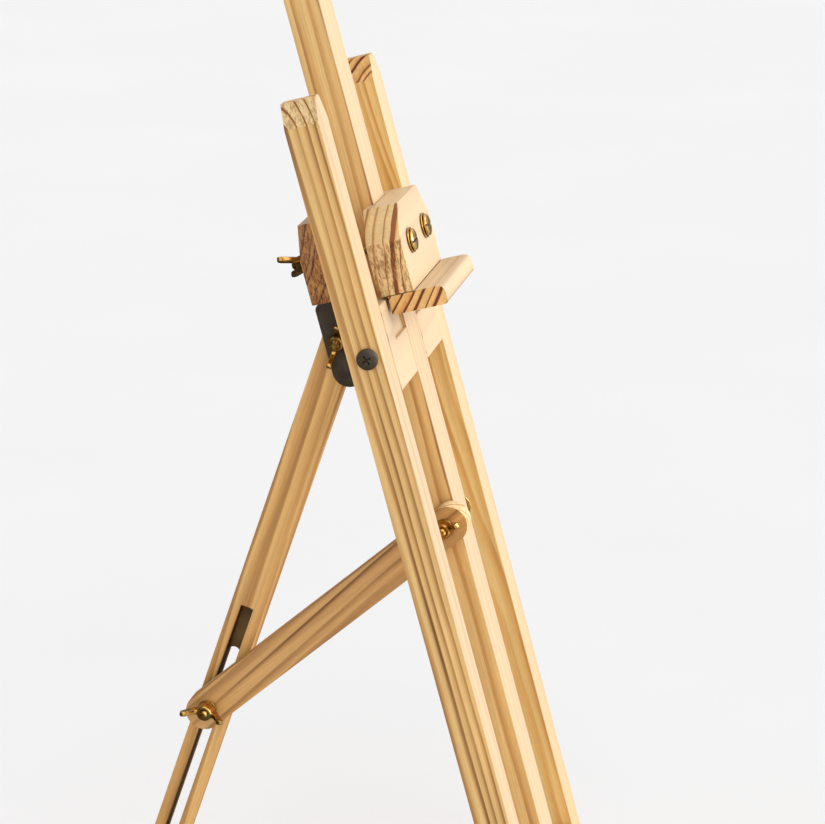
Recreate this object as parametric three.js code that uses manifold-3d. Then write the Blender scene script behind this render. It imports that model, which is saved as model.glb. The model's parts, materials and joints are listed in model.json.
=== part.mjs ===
// A small folding display easel in pine, with brass and black steel fittings.
// Millimetres and degrees, +Z up. The front frame leans back; a hinged rear leg and a slotted strut hold it.
//
// Frame coordinates, used by everything bolted to the front frame:
//   x  across the easel, positive to the right seen from the front
//   y  depth from the front faces of the legs, positive to the rear
//   z  height along the leaning frame, from the bottom edge of the upper cross blocks

import * as THREE from 'three';
import { mergeVertices } from 'three/addons/utils/BufferGeometryUtils.js';
import Module from 'manifold-3d';

// ---------------------------------------------------------------- driving dimensions

const LEAN = 15;
const GAP = 0.3;

const LEG = { span: 154, width: 20, depth: 20, top: 171, drop: 378 };
const TOP_CHAMFER = { run: 6.2, rise: 13.7 };
const MAST = { width: 27, depth: 19.7, top: 362, bottom: -336 };

const UPPER_BLOCK = { depth: 18, height: 49, ribWidth: 15.7, recessBottom: 26.2, recessDepth: 2.5 };
const LOWER_BLOCK = { depth: 18, height: 25, bottom: -336 };
const CROSS_SCREW = { y: 8.6, upperHeight: 26 };
const DOWEL = { radius: 3, length: 30, inMast: 12, y: 9, upperHeight: 12 };

const CARRIAGE = { width: 76.4, chamferRun: 13.8, chamferRise: 18.4 };
const FRONT_BLOCK = { bottom: 50, height: 47.8, depth: 20.4, channel: 4.4 };
const REAR_BLOCK = { bottom: 53.6, height: 43.8, depth: 22.8 };
const LEDGE = { rear: -0.8, depth: 32.6, thickness: 10.9, topRound: 5, bottomRound: 2.5 };
const CLAMP_BOLT = { spacing: 37, height: 74.7, radius: 2.5 };
const LEDGE_SCREW_SPACING = 52;

const PIVOT = { y: 41, z: 26 };
const REAR_LEG = { width: 20, depth: 20, angle: 34 };
const SLOT = { width: 7.6, start: 205, end: 340, recessStart: 174.5, recessDepth: 10 };

const STRUT_PIVOT = { y: 5.5, z: -89.5 };
const STRUT = { thickness: 12, endRadius: 10.8, overhang: 3, slotPinAlongLeg: 236.5, slotPinOffset: 0.2 };
const STRUT_PIN_RADIUS = 2.5;
const SLOT_PIN_RADIUS = 2.2;

const BRACKET = { inner: 21, plate: 2, bottom: -1.6, top: 49.2, rear: 49.4, lowRound: 9.5, highRound: 4 };
const BRACKET_SCREW_HEIGHTS = [6, 38];

const WASHER_THICKNESS = 1;
const SMALL_WASHER_RADIUS = 5.6;
const LARGE_WASHER_RADIUS = 7.2;
const WING_NUT = { baseRadius: 5.5, topRadius: 4.6, hubHeight: 6.5, span: 26, height: 14, thickness: 2.4 };
const BOLT_HEAD = { radius: 6.2, height: 2, slotWidth: 1.3, slotDepth: 1 };
const FRAME_SCREW = { headRadius: 6, headHeight: 2.6, radius: 2.2, length: 34 };
const SMALL_SCREW = { headRadius: 3.4, headHeight: 1.8, radius: 1.5, length: 12 };
const LEDGE_SCREW = { headRadius: 3.4, headHeight: 1.8, radius: 1.5, length: 27 };
const RUNNING_GAP = 0.25;
const ROUND_SEGMENTS = 20;

// ---------------------------------------------------------------- derived values

const radians = THREE.MathUtils.degToRad;
const LEG_INNER = LEG.span / 2 - LEG.width;
const MAST_SIDE = MAST.width / 2;
const BLOCK_WIDTH = LEG_INNER - MAST_SIDE - 2 * GAP;
const REAR_TILT = REAR_LEG.angle - LEAN;
// The mast runs in a channel cut in the back of the front clamp block.
const CARRIAGE_FRONT_FACE = -GAP + FRONT_BLOCK.channel - FRONT_BLOCK.depth;
const CARRIAGE_REAR_FACE = MAST.depth + GAP + REAR_BLOCK.depth;

const pivotRise = (PIVOT.z + LEG.drop) * Math.cos(radians(LEAN)) - PIVOT.y * Math.sin(radians(LEAN));
const REAR_LENGTH = pivotRise / Math.cos(radians(REAR_TILT));

const legAlong = new THREE.Vector2(Math.sin(radians(REAR_LEG.angle)), -Math.cos(radians(REAR_LEG.angle)));
const legNormal = new THREE.Vector2(-legAlong.y, legAlong.x);
const slotPin = new THREE.Vector2(PIVOT.y, PIVOT.z)
  .addScaledVector(legAlong, STRUT.slotPinAlongLeg)
  .addScaledVector(legNormal, STRUT.slotPinOffset);
const strutReach = slotPin.clone().sub(new THREE.Vector2(STRUT_PIVOT.y, STRUT_PIVOT.z));
const STRUT_LENGTH = strutReach.length();
const STRUT_ANGLE = THREE.MathUtils.radToDeg(Math.atan2(strutReach.x, -strutReach.y));

// The strut, its washers and its wing nuts stack outwards from the mast's left side.
const STACK_SPACER = MAST_SIDE + GAP;
const STACK_STRUT = STACK_SPACER + WASHER_THICKNESS + GAP;
const STACK_WASHER = STACK_STRUT + STRUT.thickness + GAP;
const STACK_NUT = STACK_WASHER + WASHER_THICKNESS + GAP;

// ---------------------------------------------------------------- solids and booleans

const wasm = await Module();
wasm.setup();

function toManifold(geometry) {
  const bare = geometry.clone();
  bare.deleteAttribute('normal');
  bare.deleteAttribute('uv');
  const merged = mergeVertices(bare, 1e-4);
  const vertProperties = new Float32Array(merged.attributes.position.array);
  const triVerts = new Uint32Array(merged.index.array);
  return new wasm.Manifold(new wasm.Mesh({ numProp: 3, vertProperties, triVerts }));
}

function toGeometry(manifold) {
  const mesh = manifold.getMesh();
  const geometry = new THREE.BufferGeometry();
  geometry.setAttribute('position', new THREE.BufferAttribute(new Float32Array(mesh.vertProperties), 3));
  geometry.setIndex(new THREE.BufferAttribute(new Uint32Array(mesh.triVerts), 1));
  geometry.computeVertexNormals();
  return geometry;
}

function cut(geometry, cutters) {
  let solid = toManifold(geometry);
  for (const cutter of cutters) {
    solid = solid.subtract(toManifold(cutter));
  }
  return toGeometry(solid);
}

function box(width, depth, height) {
  return new THREE.BoxGeometry(width, depth, height);
}

function polygon(points) {
  return new THREE.Shape(points.map(([x, y]) => new THREE.Vector2(x, y)));
}

// An outline drawn across and up, given thickness from y = front to y = front + depth.
function frontPlate(shape, front, depth) {
  const geometry = new THREE.ExtrudeGeometry(shape, { depth, bevelEnabled: false, curveSegments: 12 });
  geometry.rotateX(Math.PI / 2);
  geometry.translate(0, front + depth, 0);
  return geometry;
}

// An outline drawn in depth and up, given thickness from x = left to x = left + width.
function sidePlate(shape, left, width) {
  const geometry = new THREE.ExtrudeGeometry(shape, { depth: width, bevelEnabled: false, curveSegments: 12 });
  const turn = new THREE.Matrix4().makeBasis(
    new THREE.Vector3(0, 1, 0),
    new THREE.Vector3(0, 0, 1),
    new THREE.Vector3(1, 0, 0),
  );
  geometry.applyMatrix4(turn);
  geometry.translate(left, 0, 0);
  return geometry;
}

// A round cutter along one axis, centred on a point.
function drill(axis, radius, length, x, y, z) {
  const geometry = new THREE.CylinderGeometry(radius, radius, length, ROUND_SEGMENTS);
  if (axis === 'x') {
    geometry.rotateZ(Math.PI / 2);
  }
  if (axis === 'z') {
    geometry.rotateX(Math.PI / 2);
  }
  geometry.translate(x, y, z);
  return geometry;
}

// Everything below a level floor, for a foot tilted by `tilt` degrees whose sole passes through (0, 0, z).
function floorCutter(tilt, z) {
  const size = 160;
  const geometry = box(size, size, size);
  geometry.translate(0, 0, -size / 2);
  geometry.rotateX(radians(tilt));
  geometry.translate(0, 0, z);
  return geometry;
}

// ---------------------------------------------------------------- turned fasteners, axis +Y

function turned(points) {
  const profile = points.map(([radius, height]) => new THREE.Vector2(radius, height));
  return new THREE.LatheGeometry(profile, ROUND_SEGMENTS);
}

// A shallow dome from the rim of a head to its crown on the axis.
function domePoints(radius, rimHeight, height) {
  const steps = 3;
  const points = [];
  for (let i = 0; i <= steps; i += 1) {
    const angle = (i / steps) * (Math.PI / 2);
    points.push([radius * Math.cos(angle), rimHeight + (height - rimHeight) * Math.sin(angle)]);
  }
  points[steps][0] = 0;
  return points;
}

// A machine bolt: a slotted domed head above y = 0 and a plain shank below it.
function bolt(radius, length) {
  const { radius: head, height, slotWidth, slotDepth } = BOLT_HEAD;
  const body = turned([[0, -length], [radius - 0.4, -length], [radius, -length + 0.6], [radius, 0],
    [head, 0], ...domePoints(head, 0.9, height)]);
  const slot = box(3 * head, 2 * slotDepth, slotWidth);
  slot.translate(0, height, 0);
  return cut(body, [slot]);
}

// A wood screw: a low domed head with a cross recess, a shank and a point.
function woodScrew({ headRadius, headHeight, radius, length }) {
  const body = turned([[0, -length], [radius, -length + 3 * radius], [radius, 0],
    [headRadius, 0], ...domePoints(headRadius, 0.35 * headHeight, headHeight)]);
  const reach = 1.15 * headRadius;
  const width = 0.24 * headRadius;
  const depth = 1.2 * headHeight;
  const across = box(reach, depth, width);
  const along = box(width, depth, reach);
  across.translate(0, headHeight, 0);
  along.translate(0, headHeight, 0);
  return cut(body, [across, along]);
}

function washer(outer, inner) {
  return turned([[inner, 0], [outer, 0], [outer, WASHER_THICKNESS], [inner, WASHER_THICKNESS], [inner, 0]]);
}

// A wing nut standing on y = 0, its two wings along x.
function wingNut(boltRadius) {
  const { baseRadius, topRadius, hubHeight, span, height, thickness } = WING_NUT;
  const hub = turned([[0, 0], [baseRadius, 0], [baseRadius, 1], [topRadius, hubHeight - 0.8],
    [topRadius - 0.8, hubHeight], [0, hubHeight]]);
  let solid = toManifold(hub);
  for (const side of [-1, 1]) {
    const wing = new THREE.Shape();
    wing.moveTo(1.5, 1.2);
    wing.lineTo(topRadius, 1.2);
    wing.quadraticCurveTo(0.34 * span, 1.8, 0.47 * span, 0.58 * height);
    wing.quadraticCurveTo(0.53 * span, 0.86 * height, 0.45 * span, height);
    wing.quadraticCurveTo(0.36 * span, height, 0.3 * span, 0.72 * height);
    wing.quadraticCurveTo(0.22 * span, hubHeight - 0.6, 1.5, hubHeight - 0.8);
    const blade = new THREE.ExtrudeGeometry(wing, { depth: thickness, bevelEnabled: false, curveSegments: 4 });
    blade.translate(0, 0, -thickness / 2);
    if (side < 0) {
      blade.rotateY(Math.PI);
    }
    solid = solid.add(toManifold(blade));
  }
  const bore = drill('y', boltRadius + RUNNING_GAP, 3 * height, 0, 0, 0);
  return toGeometry(solid.subtract(toManifold(bore)));
}

// ---------------------------------------------------------------- materials

function wood(color) {
  return () => new THREE.MeshStandardMaterial({ color, roughness: 0.62, metalness: 0 });
}

const pine = wood(0xe2b777);
const palePine = wood(0xecc68e);
const brownPine = wood(0xc6924f);
const brass = () => new THREE.MeshStandardMaterial({ color: 0xb08a3c, roughness: 0.32, metalness: 1 });
const blackSteel = () => new THREE.MeshStandardMaterial({ color: 0x2b2722, roughness: 0.55, metalness: 0.6 });

// ---------------------------------------------------------------- placing

const easel = new THREE.Group();
const frame = new THREE.Group();
const rearLeg = new THREE.Group();
const strut = new THREE.Group();
easel.add(frame);
frame.add(rearLeg, strut);

function place(parent, name, geometry, material, position = [0, 0, 0], rotation = [0, 0, 0]) {
  const mesh = new THREE.Mesh(geometry, material());
  mesh.name = name;
  mesh.position.set(...position);
  mesh.rotation.set(...rotation.map(radians));
  parent.add(mesh);
}

// Turns that point a fastener's outer end (+Y) to one side.
const TO_FRONT = [180, 0, 0];
const TO_LEFT = [0, 0, 90];
const TO_RIGHT = [0, 0, -90];
const TO_FLOOR = [-90, 0, 0];
const turnedTo = ([x, y, z], spin) => [x + spin, y, z];

// ---------------------------------------------------------------- front frame

// A post whose top is cut to a blunt roof across its width.
function roofedPost(width, depth, bottom, top) {
  const half = width / 2;
  const { run, rise } = TOP_CHAMFER;
  const outline = polygon([[-half, bottom], [half, bottom], [half, top - rise], [half - run, top],
    [-half + run, top], [-half, top - rise]]);
  return frontPlate(outline, 0, depth);
}

function crossScrewHeights() {
  return [CROSS_SCREW.upperHeight, LOWER_BLOCK.bottom + LOWER_BLOCK.height / 2];
}

function dowelHeights() {
  return [DOWEL.upperHeight, LOWER_BLOCK.bottom + LOWER_BLOCK.height / 2];
}

// The hole for a dowel between the mast and the cross block on one side.
function dowelHole(side, height) {
  const centre = side * (MAST_SIDE - DOWEL.inMast + DOWEL.length / 2);
  return drill('x', DOWEL.radius + GAP, DOWEL.length + 4 * GAP, centre, DOWEL.y, height);
}

function addLegs() {
  const footTilt = LEAN;
  const post = roofedPost(LEG.width, LEG.depth, -LEG.drop - LEG.depth, LEG.top);
  const cutters = [floorCutter(footTilt, -LEG.drop)];
  for (const height of crossScrewHeights()) {
    cutters.push(drill('x', FRAME_SCREW.radius + GAP, 2 * LEG.width, 0, CROSS_SCREW.y, height));
  }
  const centre = LEG.span / 2 - LEG.width / 2;
  place(frame, 'left_leg', cut(post, cutters), pine, [-centre, 0, 0]);
  place(frame, 'right_leg', cut(post, cutters), pine, [centre, 0, 0]);
}

function addMast() {
  const post = roofedPost(MAST.width, MAST.depth, MAST.bottom, MAST.top);
  const cutters = [drill('x', STRUT_PIN_RADIUS + GAP, 2 * MAST.width, 0, STRUT_PIVOT.y, STRUT_PIVOT.z)];
  for (const height of dowelHeights()) {
    cutters.push(dowelHole(-1, height), dowelHole(1, height));
  }
  for (const height of BRACKET_SCREW_HEIGHTS) {
    const y = MAST.depth - SMALL_SCREW.length / 2 + 2;
    cutters.push(drill('y', SMALL_SCREW.radius + GAP, SMALL_SCREW.length + 2, 0, y, height));
  }
  place(frame, 'mast', cut(post, cutters), pine);
}

// Each cross block fills the space between a leg and the mast. The upper ones have a shallow recess in the
// top of the front, which leaves a rib beside the leg.
function addCrossBlocks() {
  const inner = MAST_SIDE + GAP;
  const outer = inner + BLOCK_WIDTH;
  const centre = (inner + outer) / 2;
  const screwTip = LEG.span / 2 + GAP - FRAME_SCREW.length - 2 * GAP;
  const pilotLength = 2 * (outer - screwTip);
  const recessHeight = UPPER_BLOCK.height - UPPER_BLOCK.recessBottom;
  for (const [side, word] of [[-1, 'left'], [1, 'right']]) {
    const upper = box(BLOCK_WIDTH, UPPER_BLOCK.depth, UPPER_BLOCK.height);
    upper.translate(side * centre, UPPER_BLOCK.depth / 2, UPPER_BLOCK.height / 2);
    const recess = box(BLOCK_WIDTH, 2 * UPPER_BLOCK.recessDepth, 2 * recessHeight);
    recess.translate(side * (centre - UPPER_BLOCK.ribWidth), 0, UPPER_BLOCK.height);
    const lower = box(BLOCK_WIDTH, LOWER_BLOCK.depth, LOWER_BLOCK.height);
    lower.translate(side * centre, LOWER_BLOCK.depth / 2, LOWER_BLOCK.bottom + LOWER_BLOCK.height / 2);
    const [upperPilot, lowerPilot] = crossScrewHeights().map((height) => drill(
      'x', FRAME_SCREW.radius + GAP, pilotLength, side * outer, CROSS_SCREW.y, height,
    ));
    const [upperHole, lowerHole] = dowelHeights().map((height) => dowelHole(side, height));
    place(frame, `upper_cross_block_${word}`, cut(upper, [recess, upperPilot, upperHole]), palePine);
    place(frame, `lower_cross_block_${word}`, cut(lower, [lowerPilot, lowerHole]), palePine);
  }
}

function addFrameScrews() {
  const [upper, lower] = crossScrewHeights();
  const seat = LEG.span / 2 + GAP;
  for (const [word, height] of [['upper', upper], ['lower', lower]]) {
    const screw = woodScrew(FRAME_SCREW);
    place(frame, `${word}_frame_screw_left`, screw, blackSteel, [-seat, CROSS_SCREW.y, height], TO_LEFT);
    place(frame, `${word}_frame_screw_right`, screw, blackSteel, [seat, CROSS_SCREW.y, height], TO_RIGHT);
  }
}

// Hidden dowels hold the cross blocks to the mast.
function addDowels() {
  const { radius, length } = DOWEL;
  const bevel = 0.6;
  const pin = turned([[0, 0], [radius - bevel, 0], [radius, bevel], [radius, length - bevel],
    [radius - bevel, length], [0, length]]);
  const start = MAST_SIDE - DOWEL.inMast;
  const [upper, lower] = dowelHeights();
  for (const [word, height] of [['upper', upper], ['lower', lower]]) {
    place(frame, `${word}_dowel_left`, pin, palePine, [-start, DOWEL.y, height], TO_LEFT);
    place(frame, `${word}_dowel_right`, pin, palePine, [start, DOWEL.y, height], TO_RIGHT);
  }
}

// ---------------------------------------------------------------- hinge bracket and rear leg

// A folded steel channel: its back lies on the mast and its two cheeks hold the rear leg's pivot.
function addBracket() {
  const { inner, plate, bottom, top, rear, lowRound, highRound } = BRACKET;
  const front = MAST.depth + GAP;
  const outline = new THREE.Shape();
  outline.moveTo(front, bottom);
  outline.lineTo(rear - lowRound, bottom);
  outline.absarc(rear - lowRound, bottom + lowRound, lowRound, -Math.PI / 2, 0, false);
  outline.absarc(rear - highRound, top - highRound, highRound, 0, Math.PI / 2, false);
  outline.lineTo(front, top);
  const outer = inner + 2 * plate;
  const block = sidePlate(outline, -outer / 2, outer);
  const hollow = box(inner, rear, 2 * (top - bottom));
  hollow.translate(0, front + plate + rear / 2, (top + bottom) / 2);
  const cutters = [hollow, drill('x', STRUT_PIN_RADIUS + GAP, 2 * outer, 0, PIVOT.y, PIVOT.z)];
  for (const height of BRACKET_SCREW_HEIGHTS) {
    cutters.push(drill('y', SMALL_SCREW.radius + GAP, 4 * plate, 0, front, height));
  }
  place(frame, 'hinge_bracket', cut(block, cutters), blackSteel);
  const seat = front + plate + GAP;
  for (const [word, height] of [['lower', BRACKET_SCREW_HEIGHTS[0]], ['upper', BRACKET_SCREW_HEIGHTS[1]]]) {
    place(frame, `bracket_screw_${word}`, woodScrew(SMALL_SCREW), blackSteel, [0, seat, height]);
  }
}

function addPivotFasteners() {
  const side = BRACKET.inner / 2 + BRACKET.plate + GAP;
  const nutSeat = side + WASHER_THICKNESS + GAP;
  const length = side + nutSeat + WING_NUT.hubHeight + 2;
  const at = (x) => [x, PIVOT.y, PIVOT.z];
  const ring = washer(SMALL_WASHER_RADIUS, STRUT_PIN_RADIUS + RUNNING_GAP);
  place(frame, 'pivot_bolt', bolt(STRUT_PIN_RADIUS, length), brass, at(side), TO_RIGHT);
  place(frame, 'pivot_washer', ring, brass, at(-side), TO_LEFT);
  place(frame, 'pivot_wing_nut', wingNut(STRUT_PIN_RADIUS), brass, at(-nutSeat), turnedTo(TO_LEFT, -64));
}

// In the rear leg's group z runs up the leg from its pivot, and y points to its rear face.
function addRearLeg() {
  rearLeg.position.set(0, PIVOT.y, PIVOT.z);
  rearLeg.rotation.x = radians(REAR_LEG.angle);
  const half = REAR_LEG.depth / 2;
  const outline = new THREE.Shape();
  outline.moveTo(-half, -REAR_LENGTH - REAR_LEG.depth);
  outline.lineTo(half, -REAR_LENGTH - REAR_LEG.depth);
  outline.absarc(0, 0, half, 0, Math.PI, false);
  const bar = sidePlate(outline, -REAR_LEG.width / 2, REAR_LEG.width);

  const slotRadius = SLOT.width / 2;
  const slot = new THREE.Shape();
  slot.absarc(0, -SLOT.start - slotRadius, slotRadius, 0, Math.PI, false);
  slot.absarc(0, -SLOT.end + slotRadius, slotRadius, Math.PI, 2 * Math.PI, false);
  const through = sidePlate(slot, -REAR_LEG.width, 2 * REAR_LEG.width);
  const recess = box(2 * SLOT.recessDepth, SLOT.width, SLOT.start + SLOT.width - SLOT.recessStart);
  recess.translate(-REAR_LEG.width / 2, 0, -(SLOT.recessStart + SLOT.start + SLOT.width) / 2);

  const pivotHole = drill('x', STRUT_PIN_RADIUS + GAP, 2 * REAR_LEG.width, 0, 0, 0);
  const sole = floorCutter(-REAR_TILT, -REAR_LENGTH);
  place(rearLeg, 'rear_leg', cut(bar, [through, recess, pivotHole, sole]), brownPine);
}

// ---------------------------------------------------------------- strut

// In the strut's group z runs back from the slot pin to the strut's pivot on the mast.
function addStrut() {
  strut.position.set(0, STRUT_PIVOT.y, STRUT_PIVOT.z);
  strut.rotation.x = radians(STRUT_ANGLE);
  const { thickness, endRadius, overhang } = STRUT;
  const outline = new THREE.Shape();
  outline.absarc(0, overhang, endRadius, 0, Math.PI, false);
  outline.absarc(0, -STRUT_LENGTH - overhang, endRadius, Math.PI, 2 * Math.PI, false);
  const bar = sidePlate(outline, -STACK_STRUT - thickness, thickness);
  const holes = [
    drill('x', STRUT_PIN_RADIUS + GAP, 4 * STACK_NUT, 0, 0, 0),
    drill('x', SLOT_PIN_RADIUS + GAP, 4 * STACK_NUT, 0, 0, -STRUT_LENGTH),
  ];
  place(strut, 'strut', cut(bar, holes), pine);
}

function addStrutPivotFasteners() {
  const at = (x) => [x, STRUT_PIVOT.y, STRUT_PIVOT.z];
  const headWasher = MAST_SIDE + GAP;
  const head = headWasher + WASHER_THICKNESS + GAP;
  const length = head + STACK_NUT + WING_NUT.hubHeight + 2;
  const small = washer(SMALL_WASHER_RADIUS, STRUT_PIN_RADIUS + RUNNING_GAP);
  const large = washer(LARGE_WASHER_RADIUS, STRUT_PIN_RADIUS + RUNNING_GAP);
  place(frame, 'strut_bolt', bolt(STRUT_PIN_RADIUS, length), brass, at(head), TO_RIGHT);
  place(frame, 'strut_head_washer', large, brass, at(headWasher), TO_RIGHT);
  place(frame, 'strut_spacer_washer', small, brass, at(-STACK_SPACER), TO_LEFT);
  place(frame, 'strut_nut_washer', small, brass, at(-STACK_WASHER), TO_LEFT);
  place(frame, 'strut_wing_nut', wingNut(STRUT_PIN_RADIUS), brass, at(-STACK_NUT), turnedTo(TO_LEFT, -20));
}

// The slot bolt passes through the rear leg's slot and travels with the strut.
function addSlotFasteners() {
  const at = (x) => [x, 0, -STRUT_LENGTH];
  const legSide = REAR_LEG.width / 2;
  const headWasher = legSide + GAP;
  const head = headWasher + WASHER_THICKNESS + GAP;
  const spacer = legSide + GAP + WASHER_THICKNESS + GAP;
  const length = head + STACK_NUT + WING_NUT.hubHeight + 2;
  const small = washer(SMALL_WASHER_RADIUS, SLOT_PIN_RADIUS + RUNNING_GAP);
  const large = washer(LARGE_WASHER_RADIUS, SLOT_PIN_RADIUS + RUNNING_GAP);
  const nutSpin = 24 - STRUT_ANGLE;
  place(strut, 'slot_bolt', bolt(SLOT_PIN_RADIUS, length), brass, at(head), TO_RIGHT);
  place(strut, 'slot_head_washer', large, brass, at(headWasher), TO_RIGHT);
  place(strut, 'slot_spacer_washer', large, brass, at(-spacer + WASHER_THICKNESS), TO_LEFT);
  place(strut, 'slot_nut_washer', small, brass, at(-STACK_WASHER), TO_LEFT);
  place(strut, 'slot_wing_nut', wingNut(SLOT_PIN_RADIUS), brass, at(-STACK_NUT), turnedTo(TO_LEFT, nutSpin));
}

// ---------------------------------------------------------------- carriage

// A clamp block: a rectangle with its two upper corners cut off.
function clampBlock(bottom, height, front, depth) {
  const half = CARRIAGE.width / 2;
  const top = bottom + height;
  const shoulder = top - CARRIAGE.chamferRise;
  const flat = half - CARRIAGE.chamferRun;
  const outline = polygon([[-half, bottom], [half, bottom], [half, shoulder], [flat, top],
    [-flat, top], [-half, shoulder]]);
  return frontPlate(outline, front, depth);
}

function addClampBlocks() {
  const holes = [-1, 1].map((side) => drill(
    'y', CLAMP_BOLT.radius + GAP, 300, (side * CLAMP_BOLT.spacing) / 2, 0, CLAMP_BOLT.height,
  ));
  const pilots = [-1, 1].map((side) => drill(
    'z', LEDGE_SCREW.radius + GAP, LEDGE_SCREW.length + 1, (side * LEDGE_SCREW_SPACING) / 2,
    ledgeScrewDepth(), ledgeScrewSeat() + LEDGE_SCREW.length / 2,
  ));
  const channel = box(MAST.width + 2 * GAP, 2 * FRONT_BLOCK.channel, 3 * FRONT_BLOCK.height);
  channel.translate(0, -GAP + FRONT_BLOCK.channel, FRONT_BLOCK.bottom);
  const front = clampBlock(FRONT_BLOCK.bottom, FRONT_BLOCK.height, CARRIAGE_FRONT_FACE, FRONT_BLOCK.depth);
  const rear = clampBlock(REAR_BLOCK.bottom, REAR_BLOCK.height, MAST.depth + GAP, REAR_BLOCK.depth);
  place(frame, 'clamp_block_front', cut(front, [channel, ...holes, ...pilots]), palePine);
  place(frame, 'clamp_block_rear', cut(rear, holes), brownPine);
}

function ledgeScrewDepth() {
  return CARRIAGE_FRONT_FACE / 2;
}

function ledgeScrewSeat() {
  return FRONT_BLOCK.bottom - LEDGE.thickness + LEDGE_SCREW.headHeight + GAP;
}

// The ledge's upper face is level with the bottom of the front clamp block, which sits in a shallow rebate.
function addLedge() {
  const top = FRONT_BLOCK.bottom;
  const bottom = top - LEDGE.thickness;
  const front = LEDGE.rear - LEDGE.depth;
  const rebate = CARRIAGE_FRONT_FACE - GAP;
  const { topRound, bottomRound } = LEDGE;
  const profile = new THREE.Shape();
  profile.moveTo(rebate, top);
  profile.lineTo(rebate, top - GAP);
  profile.lineTo(LEDGE.rear, top - GAP);
  profile.lineTo(LEDGE.rear, bottom);
  profile.lineTo(front + bottomRound, bottom);
  profile.quadraticCurveTo(front, bottom, front, bottom + bottomRound);
  profile.lineTo(front, top - topRound);
  profile.quadraticCurveTo(front, top, front + topRound, top);
  const bar = sidePlate(profile, -CARRIAGE.width / 2, CARRIAGE.width);
  const cutters = [];
  for (const side of [-1, 1]) {
    const x = (side * LEDGE_SCREW_SPACING) / 2;
    const headRoom = 2 * (LEDGE_SCREW.headHeight + GAP);
    cutters.push(drill('z', LEDGE_SCREW.radius + GAP, 3 * LEDGE.thickness, x, ledgeScrewDepth(), top));
    cutters.push(drill('z', LEDGE_SCREW.headRadius + GAP, headRoom, x, ledgeScrewDepth(), bottom));
  }
  place(frame, 'ledge', cut(bar, cutters), palePine);
}

function addCarriageFasteners() {
  const frontSeat = CARRIAGE_FRONT_FACE - GAP;
  const headSeat = frontSeat - WASHER_THICKNESS - GAP;
  const rearSeat = CARRIAGE_REAR_FACE + GAP;
  const nutSeat = rearSeat + WASHER_THICKNESS + GAP;
  const length = nutSeat - headSeat + WING_NUT.hubHeight + 2.5;
  const large = washer(LARGE_WASHER_RADIUS, CLAMP_BOLT.radius + RUNNING_GAP);
  const small = washer(SMALL_WASHER_RADIUS, CLAMP_BOLT.radius + RUNNING_GAP);
  const nutTurns = { left: 35, right: -26 };
  for (const [side, word] of [[-1, 'left'], [1, 'right']]) {
    const at = (y) => [(side * CLAMP_BOLT.spacing) / 2, y, CLAMP_BOLT.height];
    const nutTurn = [0, nutTurns[word], 0];
    place(frame, `clamp_bolt_${word}`, bolt(CLAMP_BOLT.radius, length), brass, at(headSeat), TO_FRONT);
    place(frame, `clamp_front_washer_${word}`, large, brass, at(frontSeat), TO_FRONT);
    place(frame, `clamp_rear_washer_${word}`, small, brass, at(rearSeat));
    place(frame, `clamp_wing_nut_${word}`, wingNut(CLAMP_BOLT.radius), brass, at(nutSeat), nutTurn);
    const screwAt = [(side * LEDGE_SCREW_SPACING) / 2, ledgeScrewDepth(), ledgeScrewSeat()];
    place(frame, `ledge_screw_${word}`, woodScrew(LEDGE_SCREW), brass, screwAt, TO_FLOOR);
  }
}

// ---------------------------------------------------------------- assembly

addLegs();
addMast();
addCrossBlocks();
addFrameScrews();
addDowels();
addBracket();
addPivotFasteners();
addRearLeg();
addStrut();
addStrutPivotFasteners();
addSlotFasteners();
addClampBlocks();
addLedge();
addCarriageFasteners();

// Lean the frame back, stand its feet on z = 0 and centre the footprint between front and rear feet.
frame.rotation.x = radians(-LEAN);
const frontToe = -LEG.drop * Math.sin(radians(LEAN));
const pivotDepth = PIVOT.z * Math.sin(radians(LEAN)) + PIVOT.y * Math.cos(radians(LEAN));
const rearHeel = pivotDepth + REAR_LENGTH * Math.sin(radians(REAR_TILT))
  + REAR_LEG.depth / 2 / Math.cos(radians(REAR_TILT));
frame.position.set(0, -(frontToe + rearHeel) / 2, LEG.drop * Math.cos(radians(LEAN)));
easel.updateMatrixWorld(true);

export default easel;
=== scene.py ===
"""A folding display easel in pine, with brass and black steel fittings.

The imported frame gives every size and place. This script adds what the frame doesn't hold: rounded edges,
wood grain, and finely made fasteners. Lengths are in metres, and MM turns millimetres into metres.
"""

import json
import math
from dataclasses import dataclass

import bmesh
import bpy
from mathutils import Euler, Matrix, Vector

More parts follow.
